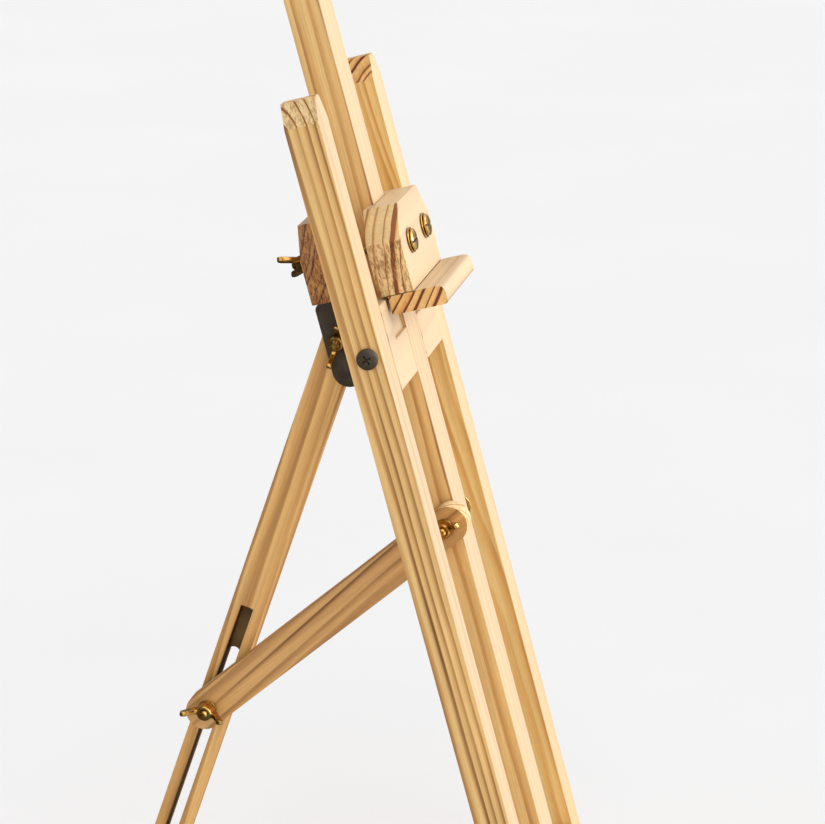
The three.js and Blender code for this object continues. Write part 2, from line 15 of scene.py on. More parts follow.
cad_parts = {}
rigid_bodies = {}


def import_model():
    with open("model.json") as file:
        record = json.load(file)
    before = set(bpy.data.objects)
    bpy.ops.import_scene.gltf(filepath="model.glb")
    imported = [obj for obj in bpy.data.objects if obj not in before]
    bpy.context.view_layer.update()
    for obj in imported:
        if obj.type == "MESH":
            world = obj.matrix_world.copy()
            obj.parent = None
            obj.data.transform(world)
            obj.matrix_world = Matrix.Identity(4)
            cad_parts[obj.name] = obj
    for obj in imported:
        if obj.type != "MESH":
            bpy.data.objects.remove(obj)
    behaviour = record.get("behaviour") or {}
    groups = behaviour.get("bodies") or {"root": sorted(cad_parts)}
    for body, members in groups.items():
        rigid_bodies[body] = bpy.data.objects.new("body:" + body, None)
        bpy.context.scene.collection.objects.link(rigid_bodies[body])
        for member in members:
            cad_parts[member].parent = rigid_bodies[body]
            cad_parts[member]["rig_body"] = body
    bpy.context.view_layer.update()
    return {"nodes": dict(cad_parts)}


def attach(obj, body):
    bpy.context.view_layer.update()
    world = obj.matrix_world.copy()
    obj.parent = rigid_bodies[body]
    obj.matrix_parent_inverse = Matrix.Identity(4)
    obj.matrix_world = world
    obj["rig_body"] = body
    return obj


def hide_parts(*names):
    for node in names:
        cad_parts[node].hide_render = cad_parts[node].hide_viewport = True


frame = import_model()

MM = 0.001
LEAN = math.radians(15)
REAR_LEG_TILT = math.radians(19)
STRUT_TILT = math.radians(49.4)

# ---------------------------------------------------------------- directions and places

# A member's own axes: x across the easel, z along the member, y the third.
UPRIGHT = Euler((-LEAN, 0, 0))
ALONG_REAR_LEG = Euler((REAR_LEG_TILT, 0, 0))
ALONG_STRUT = Euler((STRUT_TILT, 0, 0))
# Blocks with their grain across the easel: z of these axes is the easel's x.
ACROSS = (UPRIGHT.to_matrix() @ Euler((0, math.pi / 2, 0)).to_matrix()).to_euler()

LEFT = Vector((-1, 0, 0))
RIGHT = Vector((1, 0, 0))
FRAME_UP = UPRIGHT.to_matrix() @ Vector((0, 0, 1))
FRAME_REAR = UPRIGHT.to_matrix() @ Vector((0, 1, 0))
FRAME_FRONT = -FRAME_REAR


def extent(node, direction):
    """The lowest and highest reach of a CAD node along a direction."""
    reach = [vertex.co.dot(direction) for vertex in frame["nodes"][node].data.vertices]
    return min(reach), max(reach)


def middle(node, rotation):
    """The centre of a CAD node's box, taken along a set of turned axes."""
    axes = rotation.to_matrix()
    centre = Vector()
    for index in range(3):
        low, high = extent(node, axes.col[index])
        centre += axes.col[index] * (low + high) / 2
    return centre


def linked(name, data):
    """A new object in the scene."""
    obj = bpy.data.objects.new(name, data)
    bpy.context.scene.collection.objects.link(obj)
    return obj


# ---------------------------------------------------------------- shader helpers

# A mix node has a set of sockets for each data type, and these are its colour ones.
MIX_FACTOR, MIX_FIRST, MIX_SECOND, MIX_RESULT = 0, 6, 7, 2
HOLLOW_SAMPLES = 6


class Shader:
    """A material's node tree, with short calls to add and link nodes."""

    def __init__(self, name):
        self.material = bpy.data.materials.new(name)
        self.material.use_nodes = True
        self.tree = self.material.node_tree
        self.tree.nodes.clear()
        output = self.add("ShaderNodeOutputMaterial")
        self.surface = self.add("ShaderNodeBsdfPrincipled")
        self.link(self.surface.outputs["BSDF"], output.inputs["Surface"])
        coordinates = self.add("ShaderNodeTexCoord")
        self.place = coordinates.outputs["Object"]
        self.normal = coordinates.outputs["Normal"]

    def add(self, kind):
        return self.tree.nodes.new(kind)

    def link(self, source, target):
        self.tree.links.new(source, target)

    def feed(self, socket, value):
        if isinstance(value, bpy.types.NodeSocket):
            self.link(value, socket)
        else:
            socket.default_value = value

    def finish(self, **inputs):
        """Sets the surface's inputs, with _ for the spaces in their names, and gives the material."""
        for name, value in inputs.items():
            self.feed(self.surface.inputs[name.replace("_", " ")], value)
        return self.material

    def math(self, operation, first, second=0.0, third=0.0, clamp=False):
        node = self.add("ShaderNodeMath")
        node.operation = operation
        node.use_clamp = clamp
        for socket, value in zip(node.inputs, (first, second, third)):
            self.feed(socket, value)
        return node.outputs[0]

    def vector(self, operation, first, second):
        node = self.add("ShaderNodeVectorMath")
        node.operation = operation
        self.feed(node.inputs[0], first)
        self.feed(node.inputs[1], second)
        return node.outputs["Value"] if operation == "DOT_PRODUCT" else node.outputs["Vector"]

    def noise(self, vector, scale, detail, roughness):
        node = self.add("ShaderNodeTexNoise")
        self.feed(node.inputs["Vector"], vector)
        node.inputs["Scale"].default_value = scale
        node.inputs["Detail"].default_value = detail
        node.inputs["Roughness"].default_value = roughness
        return node.outputs["Fac"]

    def stretched_noise(self, vector, stretch, scale, detail, roughness):
        """Noise whose pattern is drawn out along the axes where stretch is below one."""
        return self.noise(self.vector("MULTIPLY", vector, stretch), scale, detail, roughness)

    def ramp(self, factor, stops):
        """Colours, or greys given as one value each, that follow on from one another."""
        node = self.add("ShaderNodeValToRGB")
        elements = node.color_ramp.elements
        while len(elements) < len(stops):
            elements.new(0.5)
        for element, (position, colour) in zip(elements, stops):
            element.position = position
            element.color = (*colour, 1) if isinstance(colour, tuple) else (colour, colour, colour, 1)
        self.feed(node.inputs["Fac"], factor)
        return node.outputs["Color"]

    def span(self, value, low, high, new_low=0.0, new_high=1.0):
        """The value moved from the span low to high onto the span new_low to new_high, and held within it."""
        node = self.add("ShaderNodeMapRange")
        for socket, item in zip(node.inputs, (value, low, high, new_low, new_high)):
            self.feed(socket, item)
        return node.outputs["Result"]

    def mix(self, factor, first, second, blend="MIX"):
        node = self.add("ShaderNodeMix")
        node.data_type = "RGBA"
        node.blend_type = blend
        self.feed(node.inputs[MIX_FACTOR], factor)
        for socket, value in ((MIX_FIRST, first), (MIX_SECOND, second)):
            self.feed(node.inputs[socket], (*value, 1) if isinstance(value, tuple) else value)
        return node.outputs[MIX_RESULT]

    def grey(self, value):
        """A colour with the same value in each channel."""
        node = self.add("ShaderNodeCombineColor")
        for socket in node.inputs:
            self.feed(socket, value)
        return node.outputs["Color"]

    def bump(self, height, strength, distance):
        node = self.add("ShaderNodeBump")
        node.inputs["Strength"].default_value = strength
        node.inputs["Distance"].default_value = distance
        self.feed(node.inputs["Height"], height)
        return node.outputs["Normal"]

    def openness(self, reach):
        """1 on an open face, and less in a hollow whose walls are within reach."""
        node = self.add("ShaderNodeAmbientOcclusion")
        node.inputs["Distance"].default_value = reach
        node.samples = HOLLOW_SAMPLES
        return node.outputs["AO"]


def tone(red, green, blue):
    """A colour given as screen values from 0 to 255, turned into the linear values that shaders use."""
    def linear(value):
        share = value / 255
        return share / 12.92 if share <= 0.04045 else ((share + 0.055) / 1.055) ** 2.4
    return linear(red), linear(green), linear(blue)


# ---------------------------------------------------------------- wood

# Each palette: early wood, late wood and the dark line that ends a growth ring.
PINE = (tone(250, 205, 132), tone(222, 165, 90), tone(134, 82, 34))
YELLOW_PINE = (tone(255, 218, 144), tone(248, 194, 110), tone(206, 144, 72))
HONEY_PINE = (tone(240, 190, 114), tone(218, 162, 88), tone(158, 106, 50))
PALE_PINE = (tone(244, 212, 160), tone(232, 190, 132), tone(196, 146, 92))
STREAKED_PINE = (tone(242, 208, 160), tone(222, 178, 124), tone(160, 110, 64))
BROWN_PINE = (tone(222, 170, 102), tone(196, 142, 78), tone(136, 88, 40))
# SHADED_PINE and the darker end-grain palette below are the rear clamp block's colours with painted shade, as it
# stands in shade behind the frame.
SHADED_PINE = (tone(186, 132, 78), tone(146, 98, 54), tone(98, 60, 30))
END_GRAIN = (tone(236, 190, 128), tone(204, 148, 86), tone(112, 66, 28))
LIGHT_END_GRAIN = (tone(255, 224, 164), tone(250, 196, 122), tone(156, 92, 36))
BOLD_END_GRAIN = (tone(255, 208, 132), tone(238, 168, 90), tone(112, 50, 8))
SHADED_END_GRAIN = (tone(196, 138, 68), tone(146, 96, 46), tone(98, 60, 26))
# The pale tint painted on the lit front and tops as painted light.
PAINTED_LIGHT_TINT = tone(214, 189, 155)
SAW_MARK = tone(176, 140, 102)
# The colour painted into hollows and between parts as painted shade.
PAINTED_SHADE_COLOUR = tone(64, 34, 16)

# Where a side's three colours sit between early and late wood, and where an end's do.
SIDE_STOPS = (0.0, 0.5, 1.0)
END_STOPS = (0.0, 0.35, 0.9)

SEED_STEP = 7.31
WAVER_REACH = 6 * MM
# Keeps the waver front to back apart from the waver side to side.
WAVER_SHIFT = (3.7, 1.9, 0.4)


@dataclass
class Grain:
    """How a member's wood grew and was cut, and how much light and shade is painted on it. Lengths are in mm, and
    across the grain from its own centre.
    """

    rotation: Euler  # Turns the pattern's z to the run of the grain.
    heart: tuple  # Where the heart of the tree lies across the grain.
    ring: float  # The usual width of a year's growth.
    palette: tuple
    slot: str
    drift: tuple = (0.0, 0.0)  # How far the heart wanders across for each unit of length.
    waver: float = 1.0
    end: tuple = END_GRAIN  # The cut ends' palette.
    saw: float = 0.5  # How rough the cut ends are.
    sawn_from: float = 0.2  # How squarely a cut has to face the grain to be that rough.
    hollow_shade: float = 0.3  # How strongly shade is painted into the hollows.
    hollow_reach: float = 9  # How far off the walls of a hollow may be.
    faint: float = 0.4  # How strong the faintest ring is.
    band: float = 0.25  # How much of a year shows dark on a cut end.
    pale: float = 0.78  # How much paler the lit front and tops are painted, as painted light.


def own_place(s, grain, centre):
    """The place in a member's own axes, from its own centre, with z along the grain."""
    mapping = s.add("ShaderNodeMapping")
    mapping.vector_type = "TEXTURE"
    mapping.inputs["Location"].default_value = centre
    mapping.inputs["Rotation"].default_value = grain.rotation
    s.link(s.place, mapping.inputs["Vector"])
    return mapping.outputs["Vector"]


def growth_rings(s, grain, place, local, shift):
    """The season, from 0 to 1 through each year's growth, and how strongly that year shows."""
    split = s.add("ShaderNodeSeparateXYZ")
    s.link(place, split.inputs[0])
    x, y, z = split.outputs
    along = s.vector("MULTIPLY", local, (1, 1, 0.15))
    wavers = (s.noise(along, 26, 2, 0.45), s.noise(s.vector("ADD", along, WAVER_SHIFT), 34, 2, 0.45))
    squares = []
    for across, heart, drift, waver in zip((x, y), grain.heart, grain.drift, wavers):
        heart_here = s.math("ADD", heart * MM, s.math("MULTIPLY", z, drift))
        away = s.math("MULTIPLY_ADD", s.math("SUBTRACT", waver, 0.5), WAVER_REACH * grain.waver,
                      s.math("SUBTRACT", across, heart_here))
        squares.append(s.math("MULTIPLY", away, away))
    radius = s.math("SQRT", s.math("ADD", *squares))

    # Some years are wider than others, and some are fainter.
    even_years = s.math("DIVIDE", radius, grain.ring * MM)
    uneven = s.add("ShaderNodeTexNoise")
    uneven.noise_dimensions = "1D"
    uneven.inputs["Scale"].default_value = 0.9
    uneven.inputs["Detail"].default_value = 1.0
    s.link(s.math("ADD", even_years, shift), uneven.inputs["W"])
    years = s.math("MULTIPLY_ADD", uneven.outputs["Fac"], 0.8, even_years)
    year = s.add("ShaderNodeTexWhiteNoise")
    year.noise_dimensions = "1D"
    s.link(s.math("ADD", s.math("FLOOR", years), shift), year.inputs["W"])
    return s.math("FRACT", years), s.span(year.outputs["Value"], 0, 1, grain.faint, 1.0)


def late_wood(s, local, season, strength):
    """How far the sides have turned to late wood: it rises slowly, ends sharply, and fades along the grain."""
    late = s.ramp(season, [(0.0, 0.0), (0.22, 0.08), (0.46, 0.5), (0.72, 1.0), (0.9, 0.95), (1.0, 0.0)])
    fade = s.span(s.stretched_noise(local, (1, 1, 0.06), 90, 2, 0.5), 0.34, 0.62, 0.62, 1.0)
    late = s.math("MULTIPLY", late, s.math("MULTIPLY", strength, fade))
    broad = s.stretched_noise(local, (1, 1, 0.03), 150, 2, 0.5)
    return s.math("ADD", late, s.span(broad, 0.3, 0.7, -0.10, 0.12), clamp=True)


def end_rings(s, grain, season, strength):
    """How far the cut ends have turned to the dark line that ends each year."""
    band = grain.band
    line = s.ramp(season, [(0.0, 0.0), (0.86 - 2 * band, 0.08), (0.92 - 1.3 * band, 0.35), (0.94 - band, 1.0),
                           (0.94, 1.0), (1.0, 0.0)])
    return s.math("MULTIPLY", line, strength)


def fibre_shade(s, local, streaks):
    """Light and dark from long fibres, short flecks within them, and soft clouds."""
    flecks = s.stretched_noise(local, (1, 1, 0.06), 2600, 2, 0.6)
    clouds = s.stretched_noise(local, (1, 1, 0.12), 70, 3, 0.6)
    fibres = s.math("MULTIPLY", s.span(streaks, 0.3, 0.72, 0.86, 1.07), s.span(flecks, 0.25, 0.75, 0.92, 1.06))
    return s.grey(s.math("MULTIPLY", fibres, s.span(clouds, 0.3, 0.7, 0.88, 1.07)))


def torn_pores(s, local):
    """The pits that a saw tears in a cut end, drawn out along the cut."""
    torn = s.vector("MULTIPLY", local, (0.3, 1, 0.4))
    return s.math("ADD", s.math("MULTIPLY", s.noise(torn, 1150, 3, 0.7), 0.6),
                  s.math("MULTIPLY", s.noise(torn, 430, 2, 0.5), 0.4))


def sawn_colour(s, grain, colour, pores, sawn):
    """The colour with dark pits and pale flecks where the wood is sawn."""
    speckle = s.math("MULTIPLY", s.span(pores, 0.54, 0.42, 0.0, grain.saw), sawn)
    colour = s.mix(speckle, colour, s.mix(1.0, colour, SAW_MARK, "MULTIPLY"))
    flecked = s.math("MULTIPLY", s.span(pores, 0.55, 0.66, 0.0, 0.5 * grain.saw), sawn)
    return s.mix(flecked, colour, grain.end[0])


def painted_light_share(s, grain, endness):
    """How much painted light a face gets: the front and the tops, where the key light falls, are painted paler."""
    lit_side = (FRAME_UP - FRAME_REAR).normalized()
    lit = s.vector("DOT_PRODUCT", s.normal, tuple(lit_side))
    return s.math("MULTIPLY", s.span(lit, 0.35, 0.66, 0.0, grain.pale), s.span(endness, 0.0, 1.0, 1.0, 0.2))


def wood(name, grain, centre, seed=0):
    """Sawn softwood as one solid pattern, so that the stripes on the sides meet the rings on the ends."""
    s = Shader(name)
    shift = SEED_STEP * seed
    place = own_place(s, grain, centre)
    local = s.vector("ADD", place, (0, 0, shift))
    season, strength = growth_rings(s, grain, place, local, shift)
    streaks = s.stretched_noise(local, (1, 1, 0.012), 950, 3, 0.6)
    late = late_wood(s, local, season, strength)

    # How squarely a face cuts across the fibres, and so how much it shows cut ends and saw marks.
    along_grain = grain.rotation.to_matrix() @ Vector((0, 0, 1))
    squareness = s.math("ABSOLUTE", s.vector("DOT_PRODUCT", s.normal, tuple(along_grain)))
    endness = s.span(squareness, 0.15, 0.36)
    sawn = s.span(squareness, grain.sawn_from, grain.sawn_from + 0.1)
    pores = torn_pores(s, local)

    side = s.ramp(late, list(zip(SIDE_STOPS, grain.palette)))
    cut_end = s.ramp(end_rings(s, grain, season, strength), list(zip(END_STOPS, grain.end)))
    colour = s.mix(endness, side, cut_end)
    colour = s.mix(1.0, colour, fibre_shade(s, local, streaks), "MULTIPLY")
    colour = sawn_colour(s, grain, colour, pores, sawn)
    # Painted light: the lit front and tops are painted paler.
    colour = s.mix(painted_light_share(s, grain, endness), colour, PAINTED_LIGHT_TINT)
    # Painted shade: hollows, recesses and the gaps between parts are darkened, and lose their shine and coat.
    dark = s.span(s.openness(grain.hollow_reach * MM), 0.62, 0.32, 0.0, grain.hollow_shade)

    pits = s.math("MULTIPLY", s.math("MULTIPLY", pores, sawn), 4.0 * grain.saw)
    relief = s.math("ADD", s.math("MULTIPLY", late, 0.5), s.math("MULTIPLY", streaks, 0.6))
    return s.finish(
        Base_Color=s.mix(dark, colour, PAINTED_SHADE_COLOUR),
        Roughness=s.math("ADD", s.span(streaks, 0.2, 0.8, 0.42, 0.58), s.math("MULTIPLY", endness, 0.16)),
        Specular_IOR_Level=s.span(dark, 0.0, 1.0, 0.5, 0.1),
        Coat_Weight=s.span(dark, 0.0, 1.0, 0.15, 0.0),
        Coat_Roughness=0.4,
        Normal=s.bump(s.math("ADD", relief, pits), 0.4, 0.12 * MM),
    )


# ---------------------------------------------------------------- metals


def brass(name):
    """Plated brass: warm and bright, with fine scratches, dull patches, and a darker colour in its hollows."""
    s = Shader(name)
    patches = s.noise(s.place, 260, 3, 0.6)
    scratches = s.stretched_noise(s.place, (1, 0.08, 1), 2600, 2, 0.7)
    colour = s.ramp(patches, [(0.3, tone(146, 102, 42)), (0.52, tone(196, 152, 78)), (0.75, tone(240, 208, 132))])
    away_from_hollows = s.span(s.openness(2.4 * MM), 0.3, 0.95)
    return s.finish(
        Base_Color=s.mix(away_from_hollows, tone(70, 42, 18), colour),
        Metallic=1.0,
        Roughness=s.math("ADD", s.span(patches, 0.3, 0.7, 0.09, 0.2), s.span(scratches, 0.4, 0.7, 0.0, 0.1)),
        Normal=s.bump(s.math("ADD", scratches, patches), 0.2, 0.05 * MM),
    )


def black_steel(name):
    """Blackened steel: a satin black coat, painted lighter on its edges, partly for wear and partly as painted
    glints.
    """
    s = Shader(name)
    grain = s.noise(s.place, 1400, 3, 0.6)
    patches = s.noise(s.place, 120, 3, 0.55)
    colour = s.ramp(patches, [(0.3, tone(58, 49, 37)), (0.7, tone(86, 74, 56))])
    edge = s.add("ShaderNodeBevel")
    edge.samples = 4
    edge.inputs["Radius"].default_value = 0.35 * MM
    flat = s.add("ShaderNodeNewGeometry")
    bend = s.vector("DOT_PRODUCT", edge.outputs["Normal"], flat.outputs["Normal"])
    # Painted glints and wear: the edges are painted lighter.
    wear_and_glint = s.math("MULTIPLY", s.span(bend, 0.995, 0.86), s.span(grain, 0.42, 0.6))
    return s.finish(
        Base_Color=s.mix(s.math("MULTIPLY", wear_and_glint, 0.7), colour, tone(158, 148, 132)),
        Metallic=0.35,
        Roughness=s.span(grain, 0.3, 0.7, 0.32, 0.52),
        Normal=s.bump(grain, 0.25, 0.05 * MM),
    )


# ---------------------------------------------------------------- wooden members

WOOD_EDGE = 0.7 * MM
STEEL_EDGE = 0.45 * MM
EDGE_SEGMENTS = 3
DOWEL_SEGMENTS = 2
SAME_CORNER = 0.01 * MM
SAME_FACE = math.radians(0.5)
SHARP = math.radians(35)
LONG_EDGE = 2.5 * MM
ROUND_ENDED = ("strut", "rear_leg")


def edge_chooser():
    """A modifier's node group that marks the long sharp edges for rounding, and leaves the rims of holes."""
    group = bpy.data.node_groups.new("long_sharp_edges", "GeometryNodeTree")
    for way in ("INPUT", "OUTPUT"):
        group.interface.new_socket("Geometry", in_out=way, socket_type="NodeSocketGeometry")
    add, link = group.nodes.new, group.links.new
    enter, leave = add("NodeGroupInput"), add("NodeGroupOutput")
    ends = add("GeometryNodeInputMeshEdgeVertices")
    length = add("ShaderNodeVectorMath")
    length.operation = "DISTANCE"
    link(ends.outputs["Position 1"], length.inputs[0])
    link(ends.outputs["Position 2"], length.inputs[1])
    is_long, is_sharp, both = (add("ShaderNodeMath") for _ in range(3))
    is_long.operation = is_sharp.operation = "GREATER_THAN"
    is_long.inputs[1].default_value = LONG_EDGE
    is_sharp.inputs[1].default_value = SHARP
    both.operation = "MULTIPLY"
    link(length.outputs["Value"], is_long.inputs[0])
    link(add("GeometryNodeInputMeshEdgeAngle").outputs["Unsigned Angle"], is_sharp.inputs[0])
    link(is_long.outputs[0], both.inputs[0])
    link(is_sharp.outputs[0], both.inputs[1])
    store = add("GeometryNodeStoreNamedAttribute")
    store.data_type, store.domain = "FLOAT", "EDGE"
    store.inputs["Name"].default_value = "bevel_weight_edge"
    link(enter.outputs[0], store.inputs["Geometry"])
    link(both.outputs[0], store.inputs["Value"])
    link(store.outputs["Geometry"], leave.inputs[0])
    return group


EDGE_CHOOSER = edge_chooser()


def round_edges(obj, width, segments):
    """Joins the corners that faces share, merges the flat faces' triangles, then rounds the long edges."""
    joined = obj.modifiers.new("joined_corners", "WELD")
    joined.merge_threshold = SAME_CORNER
    flat = obj.modifiers.new("flat_faces", "DECIMATE")
    flat.decimate_type = "DISSOLVE"
    flat.angle_limit = SAME_FACE
    chosen = obj.modifiers.new("long_sharp_edges", "NODES")
    chosen.node_group = EDGE_CHOOSER
    soft = obj.modifiers.new("rounded_edges", "BEVEL")
    soft.width = width
    soft.segments = segments
    soft.limit_method = "WEIGHT"
    # A clamp would shrink the rounding of these bars to suit the short edges of their round ends.
    soft.use_clamp_overlap = obj.name not in ROUND_ENDED
    soft.harden_normals = False
    tidy = obj.modifiers.new("no_slivers", "WELD")
    tidy.merge_threshold = SAME_CORNER


def finish_node(node, material, slot, edge, segments=EDGE_SEGMENTS):
    """Gives a CAD node its material and its rounded edges; the slot argument is not used."""
    obj = frame["nodes"][node]
    obj.data.materials.clear()
    obj.data.materials.append(material)
    round_edges(obj, edge, segments)


MEMBERS = {
    "left_leg": Grain(UPRIGHT, (-16, 13), 4.6, PINE, "pine", drift=(-0.012, 0.006), waver=0.9,
                      end=LIGHT_END_GRAIN, saw=0.6, faint=0.62, band=0.16),
    "right_leg": Grain(UPRIGHT, (42, 16), 2.6, YELLOW_PINE, "pine", drift=(0.01, 0.02), waver=1.5,
                       end=BOLD_END_GRAIN, saw=0.3, faint=0.55, band=0.22),
    "mast": Grain(UPRIGHT, (-36, -28), 6.4, PINE, "pine", drift=(0.004, -0.003), waver=1.1, hollow_shade=0.2, faint=0.7),
    # The rear leg's slot gets deep painted shade, reaching further than elsewhere.
    "rear_leg": Grain(ALONG_REAR_LEG, (-30, 34), 7.5, HONEY_PINE, "brown_pine", drift=(0.02, 0.05), waver=1.5,
                      hollow_shade=0.95, hollow_reach=20),
    "strut": Grain(ALONG_STRUT, (-30, -32), 6.0, BROWN_PINE, "pine", drift=(0.01, 0.05), waver=1.3,
                   end=LIGHT_END_GRAIN, band=0.12),
    "clamp_block_front": Grain(ACROSS, (30, -170), 5.2, PALE_PINE, "pale_pine", waver=1.1, end=LIGHT_END_GRAIN,
                               saw=0.9, sawn_from=0.86, faint=0.6, band=0.2),
    # The rear clamp block takes the palettes with painted shade.
    "clamp_block_rear": Grain(ACROSS, (-60, 120), 4.4, SHADED_PINE, "brown_pine", waver=1.4, end=SHADED_END_GRAIN,
                              saw=1.0, faint=0.3, band=0.16),
    "ledge": Grain(ACROSS, (-64, 76), 4.9, STREAKED_PINE, "pale_pine", drift=(0.01, 0.0), waver=0.7,
                   end=BOLD_END_GRAIN, saw=0.2, faint=0.9, band=0.18, pale=0.68),
    "upper_cross_block_left": Grain(ACROSS, (30, 90), 6.0, PALE_PINE, "pale_pine", drift=(0.02, 0.0), hollow_shade=0.15),
    "upper_cross_block_right": Grain(ACROSS, (-34, 90), 6.2, PALE_PINE, "pale_pine", drift=(0.0, 0.02)),
    "lower_cross_block_left": Grain(ACROSS, (40, 70), 5.0, PALE_PINE, "pale_pine"),
    "lower_cross_block_right": Grain(ACROSS, (-28, 72), 5.4, PALE_PINE, "pale_pine"),
}
DOWELS = ("upper_dowel_left", "upper_dowel_right", "lower_dowel_left", "lower_dowel_right")
DOWEL_GRAIN = Grain(ACROSS, (20, 10), 3, PALE_PINE, "pale_pine")


def finish_wood():
    for seed, (node, grain) in enumerate(MEMBERS.items(), start=1):
        material = wood(f"{node}_wood", grain, middle(node, grain.rotation), seed)
        finish_node(node, material, grain.slot, WOOD_EDGE)
    # The dowels are hidden inside the frame, so one pattern serves all four.
    hidden = wood("dowel_wood", DOWEL_GRAIN, middle(DOWELS[0], DOWEL_GRAIN.rotation))
    for node in DOWELS:
        finish_node(node, hidden, DOWEL_GRAIN.slot, STEEL_EDGE, DOWEL_SEGMENTS)


# ---------------------------------------------------------------- turned and cut fasteners

TURN_STEPS = 56
ON_AXIS = 1e-9
SHARP_CREASE = math.radians(32)
DOME_STEPS = 14
# Below one, a dome is squarer than an ellipse.
DOME_FULLNESS = 0.8

THREAD_PITCH = 0.8 * MM
THREAD_DEPTH = 0.35 * MM
THREAD_LENGTH = 16 * MM
THREAD_END = 0.5 * MM
# Where a thread's crest starts and ends, as shares of its pitch.
THREAD_CREST = (0.38, 0.55)
WOOD_THREAD_PITCH = 1.6 * THREAD_PITCH
WOOD_THREAD_CREST = (0.25, 0.35)
WOOD_THREAD_SHARE = 0.7

BOLT_HEAD = {"radius": 6.2 * MM, "height": 2.0 * MM, "rim": 0.8 * MM, "underside": 0.3 * MM,
             "slot_width": 1.3 * MM, "slot_depth": 1.0 * MM}
# Shares of a wood screw's head: its radius for the cross recess, its height for the rim.
CROSS_REACH = 1.15
CROSS_WIDTH = 0.22
CROSS_DEPTH = 1.5
CROSS_TAPER = 0.75
SCREW_RIM = 0.35
SCREW_UNDERSIDE = 0.25 * MM
WASHER_RIM = 0.25 * MM
RIM_STEPS = 3

WING_THICKNESS = 2.8 * MM
# One wing in (across, height), in mm: low at the hub, swelling to a rounded ear.
WING_OUTLINE = ((1.0, 0.8), (4.8, 0.8), (7.2, 2.5), (9.2, 5.4), (11.0, 8.2), (12.6, 10.8), (13.0, 12.5),
                (12.3, 13.8), (10.8, 14.0), (9.4, 13.0), (7.6, 10.0), (5.8, 7.2), (3.4, 5.9), (1.0, 5.4))
HUB_HEIGHT = 6.5 * MM
HUB_BASE = 5.5 * MM
HUB_TOP = 4.5 * MM
HUB_ROUND = 0.8 * MM
BORE_GAP = 0.25 * MM
BORE_FLARE = 0.6 * MM
CAST_GRID = 0.3 * MM
CAST_SMOOTHING = 7
CAST_DETAIL = 0.35


def new_object(name, mesh):
    """A smooth-shaded object whose sharp creases stay sharp."""
    for face in mesh.polygons:
        face.use_smooth = True
    mesh.set_sharp_from_angle(angle=SHARP_CREASE)
    return linked(name, mesh)


def mesh_of(work, name):
    """A bmesh as a new mesh, with its faces turned outwards; the bmesh is freed."""
    bmesh.ops.recalc_face_normals(work, faces=work.faces)
    mesh = bpy.data.meshes.new(name)
    work.to_mesh(mesh)
    work.free()
    return mesh


def turned(name, profile, steps=TURN_STEPS):
    """A closed solid of revolution about z, from (radius, height) points that start and end on the axis
    or close on themselves."""
    work = bmesh.new()
    closed = profile[0] == profile[-1]
    points = profile[:-1] if closed else profile
    rings = []
    for radius, height in points:
        if radius < ON_AXIS:
            rings.append([work.verts.new((0, 0, height))])
            continue
        rings.append([
            work.verts.new((radius * math.cos(angle), radius * math.sin(angle), height))
            for angle in (2 * math.pi * step / steps for step in range(steps))
        ])
    pairs = list(zip(rings, rings[1:]))
    if closed:
        pairs.append((rings[-1], rings[0]))
    for lower, upper in pairs:
        for step in range(steps):
            after = (step + 1) % steps
            corners = [lower[step % len(lower)], lower[after % len(lower)],
                       upper[after % len(upper)], upper[step % len(upper)]]
            unique = list(dict.fromkeys(corners))
            if len(unique) > 2:
                work.faces.new(unique)
    return mesh_of(work, name)


def arc(centre, radius, start, stop, steps):
    """Points on an arc in (radius, height), with angles in degrees."""
    points = []
    for step in range(steps + 1):
        angle = math.radians(start + (stop - start) * step / steps)
        points.append((centre[0] + radius * math.cos(angle), centre[1] + radius * math.sin(angle)))
    return points


def dome(radius, rim, height):
    """From a head's rim to its crown."""
    points = []
    for step in range(DOME_STEPS + 1):
        angle = math.pi / 2 * step / DOME_STEPS
        away = radius * math.cos(angle) ** DOME_FULLNESS
        points.append((away, rim + (height - rim) * math.sin(angle) ** DOME_FULLNESS))
    points[-1] = (0.0, height)
    return points


def thread(radius, low, turns, pitch, crest):
    """Thread ridges upwards from low, as (radius, height) points."""
    points = []
    for turn in range(turns):
        start = low + turn * pitch
        points += [(radius - THREAD_DEPTH, start), (radius, start + crest[0] * pitch),
                   (radius, start + crest[1] * pitch)]
    points.append((radius - THREAD_DEPTH, low + turns * pitch))
    return points


def evaluated_copy(obj, name):
    """The mesh that an object's modifiers give, as a new mesh; the object is deleted."""
    bpy.context.view_layer.update()
    depsgraph = bpy.context.evaluated_depsgraph_get()
    mesh = bpy.data.meshes.new_from_object(obj.evaluated_get(depsgraph))
    mesh.name = name
    bpy.data.objects.remove(obj)
    return mesh


def combine(name, base_mesh, tools, operation="DIFFERENCE"):
    """base_mesh with each tool mesh cut away or joined on."""
    base = linked(name, base_mesh)
    helpers = []
    for tool in tools:
        helper = linked(f"{name}_tool", tool)
        helpers.append(helper)
        change = base.modifiers.new("join_or_cut", "BOOLEAN")
        change.operation = operation
        change.solver = "EXACT"
        change.object = helper
    mesh = evaluated_copy(base, name)
    for helper in helpers:
        bpy.data.objects.remove(helper)
    return mesh


def block(name, width, depth, height, middle_height, taper=1.0):
    """A box about the z axis whose lower end is `taper` times its upper one."""
    work = bmesh.new()
    bmesh.ops.create_cube(work, size=1)
    for corner in work.verts:
        share = taper if corner.co.z < 0 else 1.0
        corner.co = Vector((corner.co.x * width * share, corner.co.y * depth * share,
                            corner.co.z * height + middle_height))
    return mesh_of(work, name)


